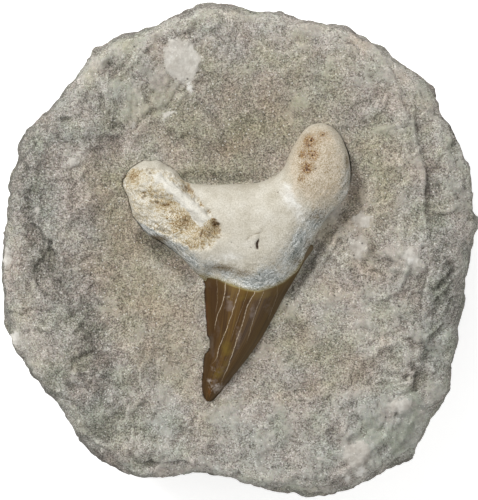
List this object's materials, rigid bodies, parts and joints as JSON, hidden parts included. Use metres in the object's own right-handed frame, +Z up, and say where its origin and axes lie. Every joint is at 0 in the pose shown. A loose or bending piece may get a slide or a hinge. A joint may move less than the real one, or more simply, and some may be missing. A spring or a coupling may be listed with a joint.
{
  "type": "fossil shark tooth in matrix",
  "caption": "Fossil shark tooth with a forked root and a slender pointed crown, lying bedded in a thick, flat-based slab of pale sandy rock.",
  "frame": {"origin": "on the flat base, under the middle of the slab", "axes": "+Z up out of the face that shows the tooth, +Y along the slab's length, away from the tip of the crown, +X to the right as the tooth is seen from above"},
  "size_m": [0.1042, 0.1079, 0.0332],
  "materials": {
    "rock": "rough, grainy sandstone-like matrix",
    "tooth": "chalky cream root, glossy golden-brown enamel crown"
  },
  "bodies": {
    "root": {"matrix_slab": "rock", "tooth": "tooth"}
  },
  "joints": []
}
